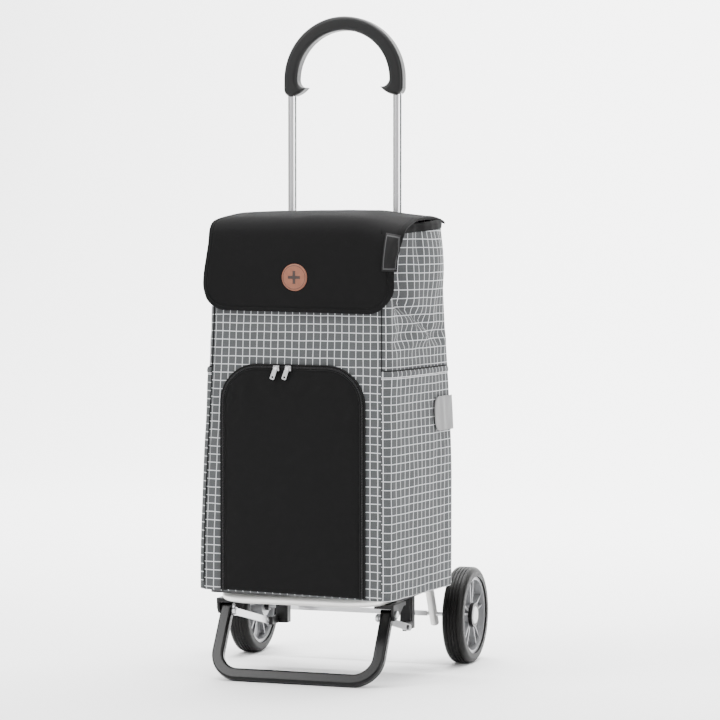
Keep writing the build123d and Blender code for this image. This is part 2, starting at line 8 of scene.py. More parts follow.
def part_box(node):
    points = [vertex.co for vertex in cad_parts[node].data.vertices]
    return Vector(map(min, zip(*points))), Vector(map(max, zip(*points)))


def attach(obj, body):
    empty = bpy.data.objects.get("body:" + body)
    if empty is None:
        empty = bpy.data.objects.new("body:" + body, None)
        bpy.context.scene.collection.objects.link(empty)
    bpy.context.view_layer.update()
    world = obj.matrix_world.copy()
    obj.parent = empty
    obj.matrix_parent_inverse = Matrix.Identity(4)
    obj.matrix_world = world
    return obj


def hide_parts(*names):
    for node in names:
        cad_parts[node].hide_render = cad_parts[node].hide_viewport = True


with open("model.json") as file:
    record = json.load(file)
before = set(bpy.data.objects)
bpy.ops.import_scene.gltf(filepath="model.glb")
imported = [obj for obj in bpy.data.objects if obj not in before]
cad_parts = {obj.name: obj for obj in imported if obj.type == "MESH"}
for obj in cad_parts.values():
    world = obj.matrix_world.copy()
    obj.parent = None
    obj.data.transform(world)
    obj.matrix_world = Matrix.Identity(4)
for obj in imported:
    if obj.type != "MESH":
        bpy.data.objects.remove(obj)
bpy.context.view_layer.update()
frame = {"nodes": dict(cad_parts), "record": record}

# ---------------------------------------------------------------- sizes read from the frame, in metres
FRONT_LO, FRONT_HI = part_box("bag_front")
BACK_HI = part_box("bag_back")[1]
BASE_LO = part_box("bag_base")[0]
ZIP_LO, ZIP_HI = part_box("zip_tape")
FLAP_LO, FLAP_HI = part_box("flap")
BADGE_LO, BADGE_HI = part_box("badge")
LABEL_LO, LABEL_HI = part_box("side_label")
SIDE_POCKET_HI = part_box("side_pocket_right")[1]
PATCH_LO, PATCH_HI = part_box("reflectors")
BAR_LO, BAR_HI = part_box("cross_bar")

MID_X = (FRONT_LO.x + FRONT_HI.x) / 2
HALF_W = (FRONT_HI.x - FRONT_LO.x) / 2
FRONT_Y, BACK_Y = FRONT_LO.y, BACK_HI.y
DEPTH = BACK_Y - FRONT_Y
BOTTOM_Z = BASE_LO.z
TOP_FRONT_Z, TOP_BACK_Z = FRONT_HI.z, BACK_HI.z
CORNER_R = 0.013
BOTTOM_R = 0.0035
BAG_TILT = 0.0075
PITCH = 0.0125
LINE_W = 0.0011
CLOTH_SCALE = (1.07, 0.86, 1.07, 0.86)


# ---------------------------------------------------------------- plain maths
def lerp(a, b, t):
    return a + (b - a) * t


def smooth(x, low=0.0, high=1.0):
    t = min(max((x - low) / (high - low), 0.0), 1.0)
    return t * t * (3 - 2 * t)


def tilt(x, z):
    """The bag hangs a little higher on its left; the lift fades out towards the top."""
    share = (FRONT_HI.x - x) / (FRONT_HI.x - FRONT_LO.x)
    return BAG_TILT * min(max(share, 0.0), 1.0) * (1 - smooth(z, BASE_LO.z + 0.05, FRONT_HI.z))


def bell(x, middle, spread):
    return math.exp(-((x - middle) / spread) ** 2)


class Nodes:
    """Small helper round a material's node tree."""

    def __init__(self, name):
        self.material = bpy.data.materials.new(name)
        self.material.use_nodes = True
        self.tree = self.material.node_tree
        self.shader = self.tree.nodes["Principled BSDF"]

    def add(self, kind, **settings):
        node = self.tree.nodes.new(kind)
        for key, value in settings.items():
            setattr(node, key, value)
        return node

    def link(self, out_socket, in_socket):
        self.tree.links.new(out_socket, in_socket)

    def maths(self, operation, first, second=None):
        node = self.add("ShaderNodeMath", operation=operation)
        for index, value in enumerate((first, second)):
            if value is None:
                continue
            if isinstance(value, (int, float)):
                node.inputs[index].default_value = value
            else:
                self.link(value, node.inputs[index])
        return node.outputs[0]

    def noise(self, scale, detail=2.0, coordinates="Object"):
        place = self.add("ShaderNodeTexCoord")
        texture = self.add("ShaderNodeTexNoise")
        texture.inputs["Scale"].default_value = scale
        texture.inputs["Detail"].default_value = detail
        self.link(place.outputs[coordinates], texture.inputs["Vector"])
        return texture.outputs["Fac"]

    def mix(self, factor, first, second):
        node = self.add("ShaderNodeMix", data_type="RGBA")
        self.link(factor, node.inputs["Factor"])
        for socket, value in ((node.inputs["A"], first), (node.inputs["B"], second)):
            if isinstance(value, tuple):
                socket.default_value = (*value, 1)
            else:
                self.link(value, socket)
        return node.outputs["Result"]

    def bump(self, height, strength, distance):
        node = self.add("ShaderNodeBump")
        node.inputs["Strength"].default_value = strength
        node.inputs["Distance"].default_value = distance
        self.link(height, node.inputs["Height"])
        self.link(node.outputs["Normal"], self.shader.inputs["Normal"])


def finish_material(name, colour, rough, metallic=0.0, vary=0.06, grain=60.0, bump=0.0, bump_size=900.0,
                    specular=0.5, sheen=0.0, coat=0.0):
    """A plain finish with a slight procedural drift in tone and an optional fine grain."""
    m = Nodes(name)
    m.shader.inputs["Roughness"].default_value = rough
    m.shader.inputs["Metallic"].default_value = metallic
    m.shader.inputs["Specular IOR Level"].default_value = specular
    m.shader.inputs["Sheen Weight"].default_value = sheen
    m.shader.inputs["Coat Weight"].default_value = coat
    darker = tuple(c * (1 - vary) for c in colour)
    lighter = tuple(min(c * (1 + vary), 1.0) for c in colour)
    m.link(m.mix(m.noise(grain), darker, lighter), m.shader.inputs["Base Color"])
    if bump:
        m.bump(m.noise(bump_size, 3.0), bump, 0.0004)
    return m.material


def line_mask(m, coordinate, wobble):
    """1 on the grid's lines, 0 in its cells, along one coordinate in metres."""
    cells = m.maths("DIVIDE", coordinate, PITCH)
    cells = m.maths("ADD", cells, wobble)
    away = m.maths("ABSOLUTE", m.maths("SUBTRACT", m.maths("FRACT", cells), 0.5))
    ramp = m.add("ShaderNodeMapRange", interpolation_type="SMOOTHSTEP")
    edge = 0.5 - LINE_W / PITCH / 2
    ramp.inputs["From Min"].default_value = edge - 0.022
    ramp.inputs["From Max"].default_value = edge + 0.022
    m.link(away, ramp.inputs["Value"])
    return ramp.outputs["Result"]


def grid_fabric():
    """Heathered grey cloth with a woven grid of near-white lines, drawn on UVs in metres."""
    m = Nodes("grid_fabric")
    m.shader.inputs["Roughness"].default_value = 0.85
    m.shader.inputs["Specular IOR Level"].default_value = 0.25
    place = m.add("ShaderNodeTexCoord")
    axes = m.add("ShaderNodeSeparateXYZ")
    m.link(place.outputs["UV"], axes.inputs["Vector"])
    drift = m.maths("MULTIPLY", m.maths("SUBTRACT", m.noise(22.0, 1.0, "UV"), 0.5), 0.16)
    across = line_mask(m, axes.outputs["X"], drift)
    along = line_mask(m, axes.outputs["Y"], drift)
    lines = m.maths("MAXIMUM", across, along)
    fade = m.maths("ADD", m.maths("MULTIPLY", m.noise(480.0, 2.0, "UV"), 0.5), 0.62)
    lines = m.maths("MINIMUM", m.maths("MULTIPLY", lines, fade), 1.0)
    heather = m.mix(m.noise(760.0, 4.0, "UV"), (0.024, 0.0255, 0.0262), (0.080, 0.084, 0.086))
    m.link(m.mix(lines, heather, (0.56, 0.57, 0.585)), m.shader.inputs["Base Color"])
    weave = m.maths("ADD", m.noise(1500.0, 2.0, "UV"), m.maths("MULTIPLY", lines, 0.35))
    m.bump(weave, 0.35, 0.0004)
    return m.material


def webbing(name, colour, rough):
    """Ribbed woven tape: fine ribs across the object's own length."""
    m = Nodes(name)
    m.shader.inputs["Roughness"].default_value = rough
    m.shader.inputs["Specular IOR Level"].default_value = 0.2
    place = m.add("ShaderNodeTexCoord")
    ribs = m.add("ShaderNodeTexWave", bands_direction="DIAGONAL")
    ribs.inputs["Scale"].default_value = 260.0
    ribs.inputs["Distortion"].default_value = 1.2
    m.link(place.outputs["Object"], ribs.inputs["Vector"])
    lighter = tuple(c * 1.5 for c in colour)
    m.link(m.mix(ribs.outputs["Fac"], colour, lighter), m.shader.inputs["Base Color"])
    m.bump(ribs.outputs["Fac"], 0.3, 0.0003)
    return m.material


def leather():
    m = Nodes("tan_leather")
    m.shader.inputs["Roughness"].default_value = 0.55
    place = m.add("ShaderNodeTexCoord")
    pores = m.add("ShaderNodeTexVoronoi")
    pores.inputs["Scale"].default_value = 1400.0
    m.link(place.outputs["Object"], pores.inputs["Vector"])
    tone = m.mix(m.noise(160.0, 4.0), (0.120, 0.036, 0.016), (0.205, 0.070, 0.034))
    m.link(tone, m.shader.inputs["Base Color"])
    m.bump(pores.outputs["Distance"], 0.25, 0.0003)
    return m.material


MATERIALS = {
    "grid_fabric": grid_fabric(),
    "black_fabric": finish_material("black_fabric", (0.0034, 0.0034, 0.0035), 0.88, vary=0.25, grain=420.0,
                                    bump=0.35, bump_size=1100.0, specular=0.12),
    "black_tape": webbing("black_tape", (0.0030, 0.0030, 0.0031), 0.72),
    "reflective": finish_material("reflective", (0.105, 0.105, 0.106), 0.5, metallic=0.0, bump=0.12,
                                  bump_size=1500.0),
    "tan_leather": leather(),
    "mark_leather": finish_material("mark_leather", (0.016, 0.0065, 0.004), 0.5, vary=0.15),
    "grip_plastic": finish_material("grip_plastic", (0.0040, 0.0040, 0.0042), 0.40, specular=0.26,
                                    bump=0.3, bump_size=1700.0),
    "black_plastic": finish_material("black_plastic", (0.003, 0.003, 0.0032), 0.42, specular=0.25, bump=0.12),
    "anodised": finish_material("anodised", (0.86, 0.86, 0.87), 0.22, metallic=1.0, vary=0.02),
    "silver_paint": finish_material("silver_paint", (0.74, 0.73, 0.71), 0.30, metallic=0.55, vary=0.02),
    "black_paint": finish_material("black_paint", (0.0025, 0.0025, 0.0026), 0.27, specular=0.24),
    "zinc": finish_material("zinc", (0.62, 0.62, 0.63), 0.30, metallic=1.0, vary=0.05),
    "tyre_rubber": finish_material("tyre_rubber", (0.0022, 0.0021, 0.0019), 0.46, specular=0.16,
                                   vary=0.15, bump=0.15),
    "rim_plastic": finish_material("rim_plastic", (0.27, 0.272, 0.28), 0.36, metallic=0.45, vary=0.05),
    "hub_black": finish_material("hub_black", (0.003, 0.003, 0.0032), 0.35, specular=0.3),
    "cap_silver": finish_material("cap_silver", (0.52, 0.52, 0.53), 0.33, metallic=0.4),
    "nylon": finish_material("nylon", (0.55, 0.55, 0.54), 0.5),
    "board": finish_material("board", (0.03, 0.03, 0.032), 0.7),
    "floor_white": finish_material("floor_white", (0.93, 0.93, 0.93), 0.8, vary=0.003, grain=2.0,
                                   specular=0.1),
    "card_black": finish_material("card_black", (0.01, 0.01, 0.01), 0.9),
    "label_edge": finish_material("label_edge", (0.022, 0.022, 0.023), 0.7),
    "zip_teeth": finish_material("zip_teeth", (0.005, 0.005, 0.0055), 0.45, specular=0.3),
}


# ---------------------------------------------------------------- mesh helpers
def new_object(name, vertices, faces, slot, uvs=None):
    mesh = bpy.data.meshes.new(name)
    mesh.from_pydata([tuple(v) for v in vertices], [], faces)
    mesh.update()
    for polygon in mesh.polygons:
        polygon.use_smooth = True
    if uvs is not None:
        layer = mesh.uv_layers.new(name="UVMap")
        for loop in mesh.loops:
            layer.data[loop.index].uv = uvs[loop.vertex_index]
    obj = bpy.data.objects.new(name, mesh)
    bpy.context.scene.collection.objects.link(obj)
    mesh.materials.append(MATERIALS[slot])
    return obj


def lattice(name, rows, cols, point, slot, uv=None, closed=False, thick=0.0, offset=-1.0):
    """A sheet of rows by cols points; closed joins the last column to the first."""
    steps = cols if closed else cols - 1
    places = [(i / (rows - 1), j / steps) for i in range(rows) for j in range(cols)]
    vertices = [point(a, b) for a, b in places]
    uvs = [uv(a, b) for a, b in places] if uv else None
    faces = []
    for i in range(rows - 1):
        for j in range(steps):
            right = (j + 1) % cols
            faces.append((i * cols + j, i * cols + right, (i + 1) * cols + right, (i + 1) * cols + j))
    obj = new_object(name, vertices, faces, slot, uvs)
    if thick:
        solid = obj.modifiers.new("cloth", "SOLIDIFY")
        solid.thickness = thick
        solid.offset = offset
    return obj


def tube(name, points, radius, slot, sides=8, ends=True):
    """A round cord along points."""
    vertices, faces = [], []
    last = len(points) - 1
    reference = None
    for i, point in enumerate(points):
        ahead = (points[min(i + 1, last)] - points[max(i - 1, 0)]).normalized()
        if reference is None:
            reference = ahead.orthogonal().normalized()
        reference = (reference - ahead * reference.dot(ahead)).normalized()
        other = ahead.cross(reference)
        for k in range(sides):
            turn = 2 * math.pi * k / sides
            vertices.append(point + radius * (reference * math.cos(turn) + other * math.sin(turn)))
    for i in range(last):
        for k in range(sides):
            n = (k + 1) % sides
            faces.append((i * sides + k, i * sides + n, (i + 1) * sides + n, (i + 1) * sides + k))
    if ends:
        faces.append(tuple(range(sides - 1, -1, -1)))
        faces.append(tuple(last * sides + k for k in range(sides)))
    return new_object(name, vertices, faces, slot)


def wrinkle(x, y, scale, seed):
    return noise.noise(Vector((x * scale, y * scale, seed)))


# ---------------------------------------------------------------- the bag's shell
class Shell:
    """The bag's cloth wall: four panels round a plan that leans and swells with height."""

    PANELS = 4
    ACROSS = (44, 40, 36, 40)
    ARC = 5

    def corners(self, t):
        """Front-left, front-right, rear-right and rear-left corners at height share t."""
        left = lerp(HALF_W + 0.0065, HALF_W - 0.0130, smooth(t, 0.0, 0.95))
        right_front = HALF_W - 0.0050
        right_rear = HALF_W + 0.0205 - 0.020 * smooth(t, 0.28, 1.05)
        return [
            Vector((MID_X - left, FRONT_Y)),
            Vector((MID_X + right_front, FRONT_Y)),
            Vector((MID_X + right_rear, BACK_Y)),
            Vector((MID_X - left + 0.012, BACK_Y)),
        ]

    def samples(self):
        """Each sample is a panel or corner number and a share along it."""
        found = []
        for panel in range(self.PANELS):
            found += [("flat", panel, k / self.ACROSS[panel]) for k in range(self.ACROSS[panel])]
            found += [("arc", panel, k / self.ARC) for k in range(self.ARC)]
        return found

    def lengths(self):
        """The samples' places along the flat cloth, in metres."""
        runs = [w - 2 * CORNER_R for w in (2 * HALF_W, DEPTH, 2 * HALF_W, DEPTH)]
        runs = [run * scale for run, scale in zip(runs, CLOTH_SCALE)]
        arc = math.pi * CORNER_R / 2
        found = []
        for kind, panel, share in self.samples():
            start = sum(runs[:panel]) + panel * arc
            found.append(start + runs[panel] * share if kind == "flat" else start + runs[panel] + arc * share)
        return found

    def place(self, kind, panel, share, t, radius=CORNER_R):
        """Plan position and outward direction of a sample at height share t."""
        ring = self.corners(t)
        a, b, c = ring[panel], ring[(panel + 1) % 4], ring[(panel + 2) % 4]
        along, after = (b - a).normalized(), (c - b).normalized()
        if kind == "flat":
            p = a + along * radius + along * (((b - a).length - 2 * radius) * share)
            return p, Vector((along.y, -along.x))
        turn = share * math.pi / 2
        out = (Vector((along.y, -along.x)) * math.cos(turn) + Vector((after.y, -after.x)) * math.sin(turn))
        centre = b - along * radius + after * radius
        return centre + out * radius, out.normalized()

    def swell(self, panel, g, z):
        """How far the cloth stands out from its plan, in metres."""
        height = (z - BOTTOM_Z) / (TOP_FRONT_Z - BOTTOM_Z)
        inside = math.sin(math.pi * min(max(g, 0.0), 1.0))
        rough = 0.0011 * wrinkle(g, z, 9.0, 3.0 + panel) + 0.0006 * wrinkle(g * 2, z, 21.0, 8.0 + panel)
        if panel == 0:
            return inside * (0.0012 * math.sin(math.pi * height) + rough)
        if panel == 2:
            return inside * (-0.004 * math.sin(math.pi * height) + rough)
        upper = smooth(z, 0.478, 0.520)
        bulge = 0.014 * bell(g, 0.74, 0.28) * bell(z, 0.632, 0.062)
        hollow = -0.024 * bell(g, 0.17, 0.15) * bell(z, 0.612, 0.062)
        crease_z = lerp(0.588, 0.532, g / 0.62)
        crease = -0.0080 * bell(z, crease_z, 0.012) * smooth(g, -0.05, 0.10) * (1 - smooth(g, 0.55, 0.95))
        ridge = 0.0045 * bell(z, crease_z - 0.022, 0.013) * (1 - smooth(g, 0.5, 1.0))
        soft_fold = 0.0034 * math.sin(2 * math.pi * (z - 0.30 * g * DEPTH) / 0.047) * bell(z, 0.512, 0.024)
        rear_fold = -0.005 * bell(g, 0.47, 0.05) * bell(z, 0.655, 0.030)
        folds = bulge + hollow + crease + ridge + soft_fold + rear_fold
        lower = 0.0025 * math.sin(math.pi * height) * inside
        return smooth(g, -0.02, 0.06) * (1 - smooth(g, 0.95, 1.02)) * (upper * folds + rough * 1.4) + lower

    def top(self, y):
        """Height of the mouth, drawn down towards the front where the flap folds over it."""
        back_share = (y - FRONT_Y) / DEPTH
        return lerp(TOP_FRONT_Z, TOP_BACK_Z, back_share) - 0.004 - 0.017 * (1 - smooth(back_share, 0.0, 0.16))

    def wall(self, kind, panel, share, z, out=0.0):
        """A point on the wall, out metres off the cloth."""
        t = (z - BOTTOM_Z) / (TOP_FRONT_Z - BOTTOM_Z)
        p, normal = self.place(kind, panel, share, t)
        g = share if kind == "flat" else None
        if g is None:
            swell = lerp(self.swell(panel, 1.0, z), self.swell((panel + 1) % 4, 0.0, z), share)
        else:
            swell = self.swell(panel, g, z)
        p = p + normal * (swell + out)
        return Vector((p.x, p.y, z + tilt(p.x, z)))

    def build(self):
        samples, lengths = self.samples(), self.lengths()
        rounds, walls, floor_rows = 6, 96, 8
        vertices, uvs = [], []
        centre = Vector((MID_X, (FRONT_Y + BACK_Y) / 2, BOTTOM_Z))
        for i in range(floor_rows + rounds + walls):
            for (kind, panel, share), u in zip(samples, lengths):
                if i < floor_rows + rounds:
                    edge, normal = self.place(kind, panel, share, 0.0)
                    rim = Vector((edge.x - normal.x * BOTTOM_R, edge.y - normal.y * BOTTOM_R, BOTTOM_Z))
                if i < floor_rows:
                    k = (i + 1) / (floor_rows + 1)
                    p = centre.lerp(rim, k)
                    p.z += tilt(p.x, BOTTOM_Z) * smooth(k)
                    v = BOTTOM_Z - BOTTOM_R - (1 - k) * DEPTH / 2
                elif i < floor_rows + rounds:
                    turn = (i - floor_rows) / rounds * math.pi / 2
                    flat = Vector((normal.x, normal.y, 0)) * math.sin(turn) * BOTTOM_R
                    p = rim + flat + Vector((0, 0, BOTTOM_R * (1 - math.cos(turn)) + tilt(rim.x, BOTTOM_Z)))
                    v = BOTTOM_Z + BOTTOM_R * (turn - 1)
                else:
                    edge, _ = self.place(kind, panel, share, 0.5)
                    share_up = (i - floor_rows - rounds) / (walls - 1)
                    z = lerp(BOTTOM_Z + BOTTOM_R, self.top(edge.y), share_up)
                    p = self.wall(kind, panel, share, z)
                    v = z
                vertices.append(p)
                uvs.append((u, v))
        count = len(samples)
        faces = []
        for i in range(floor_rows + rounds + walls - 1):
            for j in range(count):
                n = (j + 1) % count
                faces.append((i * count + j, i * count + n, (i + 1) * count + n, (i + 1) * count + j))
        faces.append(tuple(range(count - 1, -1, -1)))
        obj = new_object("bag_shell", vertices, faces, "grid_fabric", uvs)
        wrap_seam(obj, count, lengths)
        obj.modifiers.new("cloth", "SOLIDIFY").thickness = 0.0014
        return obj


def wrap_seam(obj, count, lengths):
    """Gives the faces that close the ring their own UVs, so the grid doesn't run backwards there."""
    layer = obj.data.uv_layers[0]
    total = lengths[-1] + (lengths[-1] - lengths[-2])
    for polygon in obj.data.polygons:
        columns = {v % count for v in polygon.vertices}
        if len(polygon.vertices) == 4 and 0 in columns and count - 1 in columns:
            for loop_index in polygon.loop_indices:
                if obj.data.loops[loop_index].vertex_index % count == 0:
                    layer.data[loop_index].uv.x = total


shell = Shell()
bag_shell = shell.build()
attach(bag_shell, "frame")
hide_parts("bag_front", "bag_back", "bag_side_left", "bag_side_right", "bag_base")


def seam(name, panel, share, low, high, out=0.0, radius=0.0008):
    heights = [lerp(low, high, k / 90) for k in range(91)]
    return tube(name, [shell.wall("flat", panel, share, z, out) for z in heights], radius, "black_fabric")


front_seams = [
    seam("seam_piping_left", 0, -0.014, BOTTOM_Z + 0.012, TOP_FRONT_Z - 0.006),
    seam("seam_piping_right", 0, 1.004, BOTTOM_Z + 0.012, TOP_FRONT_Z - 0.006),
]
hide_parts("seam_piping")
back_seams = [
    seam("back_seam_right", 2, 0.0, BOTTOM_Z + 0.012, TOP_BACK_Z - 0.006),
    seam("back_seam_left", 2, 1.0, BOTTOM_Z + 0.012, TOP_BACK_Z - 0.006),
]
for cord_piece in front_seams + back_seams:
    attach(cord_piece, "frame")


def round_samples(panels, low=0.0, high=1.0):
    """Wall samples along one or several panels and the corners between them."""
    found = []
    for index, panel in enumerate(panels):
        first = low if index == 0 else 0.0
        last = high if index == len(panels) - 1 else 1.0
        found += [("flat", panel, lerp(first, last, k / 40)) for k in range(41)]
        if index < len(panels) - 1:
            found += [("arc", panel, k / 5) for k in range(1, 5)]
    return found


def wall_band(name, samples, heights, out, slot, thick=0.0, uv=None):
    """A strip on the wall: heights(sample) gives its low and high edge."""
    rows = 7

    def point(a, b):
        sample = samples[round(b * (len(samples) - 1))]
        low, high = heights(sample)
        return shell.wall(*sample, lerp(low, high, a), out(a))

    return lattice(name, rows, len(samples), point, slot, uv, thick=thick)


def mouth_heights(sample):
    edge, _ = shell.place(*sample, 0.9)
    top = shell.top(edge.y)
    return top - 0.013, top + 0.001


mouth = wall_band("mouth_binding", round_samples([1, 2, 3]), mouth_heights,
                  lambda a: 0.0007 + 0.0010 * math.sin(math.pi * a), "black_fabric", thick=0.0008)
mouth_front = wall_band("mouth_binding_front", round_samples([0]), mouth_heights,
                        lambda a: 0.0005, "black_fabric", thick=0.0008)
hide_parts("mouth_hem")
for piece in (mouth, mouth_front):
    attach(piece, "frame")


# ---------------------------------------------------------------- side pockets and their hems
POCKET_TOP_Z = SIDE_POCKET_HI.z + 0.006


def side_pocket(hand, samples):
    """Cloth pocket from the front seam round the corner to the back seam, with a turned hem."""
    steps = len(samples) - 1

    def slack(a, b):
        gape = 0.0030 * smooth(a, 0.84, 1.0) * math.sin(math.pi * b)
        return 0.0016 + gape + 0.0007 * wrinkle(b, a, 5.0, 23.0)

    def height(a):
        return lerp(BOTTOM_Z + 0.001, POCKET_TOP_Z, a)

    def point(a, b):
        return shell.wall(*samples[round(b * steps)], height(a), slack(a, b))

    def uv(a, b):
        return (SAMPLE_U[samples[round(b * steps)]] + 0.0045, height(a) + 0.004)

    def hem_point(a, b):
        z = lerp(POCKET_TOP_Z - 0.009, POCKET_TOP_Z + 0.0006, a)
        out = slack(1.0, b) + 0.0004 + 0.0011 * math.sin(math.pi * a)
        return shell.wall(*samples[round(b * steps)], z, out)

    def hem_uv(a, b):
        return (uv(1, b)[0], POCKET_TOP_Z + 0.002 - 0.009 * (1 - a))

    # Painted shadow: a thin black strip standing just above the hem's top edge, where the hem's gap throws
    # shade on the wall
    def shade_point(a, b):
        z = lerp(POCKET_TOP_Z - 0.004, POCKET_TOP_Z + 0.0022, a)
        return shell.wall(*samples[round(b * steps)], z, 0.0007)

    cols = len(samples)
    pocket = lattice(f"side_pocket_cloth_{hand}", 60, cols, point, "grid_fabric", uv, thick=0.0011)
    hem = lattice(f"side_pocket_hem_{hand}", 5, cols, hem_point, "grid_fabric", hem_uv, thick=0.0008)
    # black strip of painted shadow along the hem, not a real inner cloth
    painted_shadow_strip = lattice(f"side_pocket_lining_{hand}", 3, cols, shade_point, "black_fabric", thick=0.0004)
    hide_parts(f"side_pocket_{hand}")
    for piece in (pocket, hem, painted_shadow_strip):
        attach(piece, "frame")


def wall_run(first, last):
    """The shell's own samples from one index to another, in order."""
    every = shell.samples()
    return every[first:last]


def panel_start(panel):
    return sum(Shell.ACROSS[:panel]) + panel * Shell.ARC


SAMPLE_U = dict(zip(shell.samples(), shell.lengths()))
side_pocket("right", wall_run(panel_start(1) - Shell.ARC, panel_start(1) + Shell.ACROSS[1]))
side_pocket("left", wall_run(panel_start(3), panel_start(3) + Shell.ACROSS[3] + Shell.ARC))


def reflector(hand, panel, rear_share):
    """Patch on the side pocket, round in front and straight at the back seam."""
    width, low, high = 0.086, PATCH_LO.z, PATCH_HI.z
    middle, half = (low + high) / 2 + 0.008, (high - low) / 2
    radius = 0.022

    def point(a, b):
        up = lerp(-half, half, a)
        bite = max(abs(up) - (half - radius), 0.0)
        front = width - (radius - math.sqrt(max(radius ** 2 - bite ** 2, 0.0)))
        back_off = front * b
        share = 1 - back_off / DEPTH if rear_share > 0.5 else back_off / DEPTH
        return shell.wall("flat", panel, share, middle + up, 0.0042)

    patch = lattice(f"reflector_{hand}", 25, 17, point, "reflective", thick=0.0009)
    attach(patch, "frame")
    return patch


patches = [reflector("right", 1, 1.0), reflector("left", 3, 0.0)]
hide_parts("reflectors")


# ---------------------------------------------------------------- front pocket and its zip band
POCKET_MID = (ZIP_LO.x + ZIP_HI.x) / 2
BAND_HALF = (ZIP_HI.x - ZIP_LO.x) / 2 - 0.0020
BAND_TOP, BAND_LOW = ZIP_HI.z, ZIP_LO.z
BAND_R = 0.060
BAND_W = 0.009


def outline_path(inset, low, steps=26):
    """Points in X and Z up the left side, over the round corners and down the right side."""
    half, top, radius = BAND_HALF - inset, BAND_TOP - inset, BAND_R - inset
    side = [Vector((POCKET_MID - half, lerp(low, top - radius, k / 40))) for k in range(41)]
    corner = [
        Vector((POCKET_MID - half + radius - radius * math.cos(turn), top - radius + radius * math.sin(turn)))
        for turn in (math.pi / 2 * k / steps for k in range(1, steps))
    ]
    over = [Vector((lerp(POCKET_MID - half + radius, POCKET_MID, k / 24), top)) for k in range(25)]
    first = side + corner + over
    second = [Vector((2 * POCKET_MID - p.x, p.y)) for p in reversed(first[:-1])]
    return first + second


def band_profile(c):
    """Height of the zip band over the bag's face: a piped edge, tape, teeth, tape and piped edge."""
    tape = 0.0026
    edges = 0.0018 * (bell(c, 0.10, 0.09) + bell(c, 0.90, 0.09))
    teeth = 0.0009 * bell(c, 0.5, 0.10)
    return tape + edges + teeth if 0.0 < c < 1.0 else 0.0


def zip_band():
    shares = [k / 24 for k in range(25)]
    paths = [outline_path(BAND_W * c, BAND_LOW) for c in shares]

    def point(a, b):
        c = shares[round(a * 24)]
        p = paths[round(a * 24)][round(b * (len(paths[0]) - 1))]
        return Vector((p.x, FRONT_Y - band_profile(c), p.y + tilt(p.x, p.y)))

    band = lattice("zip_band", 25, len(paths[0]), point, "black_tape")
    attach(band, "frame")
    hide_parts("zip_tape")
    return band


def zip_teeth():
    """Two close rows of small teeth along the middle of the band's straight top and sides."""
    path = outline_path(BAND_W / 2, BAND_LOW)
    vertices, faces = [], []
    travelled, step = 0.0, 0.0022
    for start, end in zip(path, path[1:]):
        ahead = (end - start).normalized()
        across = Vector((ahead.y, -ahead.x))
        length = (end - start).length
        while travelled < length:
            middle = start + ahead * travelled
            y = FRONT_Y - 0.0036
            base = len(vertices)
            for along, side, rise in ((-1, -1, 0), (1, -1, 0), (1, 1, 0), (-1, 1, 0),
                                      (-1, -1, 1), (1, -1, 1), (1, 1, 1), (-1, 1, 1)):
                flat = middle + ahead * (0.00065 * along) + across * (0.0014 * side)
                vertices.append(Vector((flat.x, y - 0.0007 * rise, flat.y + tilt(flat.x, flat.y))))
            quads = ((0, 3, 2, 1), (4, 5, 6, 7), (0, 1, 5, 4), (1, 2, 6, 5), (2, 3, 7, 6), (3, 0, 4, 7))
            faces += [tuple(base + k for k in quad) for quad in quads]
            travelled += step
        travelled -= length
    teeth = new_object("zip_teeth", vertices, faces, "zip_teeth")
    for polygon in teeth.data.polygons:
        polygon.use_smooth = False
    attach(teeth, "frame")
    return teeth


def pocket_pad():
    """The padded pocket: a crowned closed form inside the zip band."""
    rows, cols = 90, 70
    inset = BAND_W - 0.001
    half, top, low, radius = BAND_HALF - inset, BAND_TOP - inset, BAND_LOW + 0.001, BAND_R - inset

    def half_at(z):
        rise = max(z - (top - radius), 0.0)
        return half - radius + math.sqrt(max(radius ** 2 - rise ** 2, 0.0))

    def edge_distance(x, z):
        flat = min(half - abs(x), top - z, z - low)
        cx, cz = abs(x) - (half - radius), z - (top - radius)
        if cx > 0 and cz > 0:
            flat = min(flat, radius - math.hypot(cx, cz))
        return max(flat, 0.0)

    def crown(x, z):
        d = edge_distance(x, z)
        rim = 0.0032 + 0.0034 * (1 - math.exp(-d / 0.009))
        belly = 0.0030 * smooth(d, 0.0, 0.075)
        near_top = smooth(z, top - 0.11, top - 0.01)
        puckers = 0.0011 * near_top * math.sin(x * 150 + 3.0 * wrinkle(x, z, 20.0, 5.0)) * smooth(d, 0, 0.02)
        waves = 0.0013 * wrinkle(x, z, 14.0, 41.0) * smooth(d, 0, 0.03)
        return rim + belly + waves + puckers * (1 - smooth(d, 0.02, 0.06))

    def spread(a):
        return (1 - math.cos(math.pi * a)) / 2

    vertices, faces = [], []
    for layer in (1, 0):
        for i in range(rows):
            z = lerp(low, top, spread(i / (rows - 1)))
            for j in range(cols):
                x = (2 * spread(j / (cols - 1)) - 1) * half_at(z)
                depth = crown(x, z) if layer else 0.0002
                vertices.append(Vector((POCKET_MID + x, FRONT_Y - depth, z + tilt(POCKET_MID + x, z))))
    size = rows * cols
    for i in range(rows - 1):
        for j in range(cols - 1):
            a = i * cols + j
            faces.append((a, a + 1, a + cols + 1, a + cols))
            faces.append((size + a, size + a + cols, size + a + cols + 1, size + a + 1))
    border = [j for j in range(cols)] + [i * cols + cols - 1 for i in range(1, rows)]
    border += [(rows - 1) * cols + j for j in range(cols - 2, -1, -1)]
    border += [i * cols for i in range(rows - 2, 0, -1)]
    for here, after in zip(border, border[1:] + border[:1]):
        faces.append((after, here, size + here, size + after))
    pad = new_object("pocket_pad", vertices, faces, "black_fabric")
    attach(pad, "frame")
    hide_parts("front_pocket")
    return pad


zip_band()
zip_teeth()
pocket_pad()


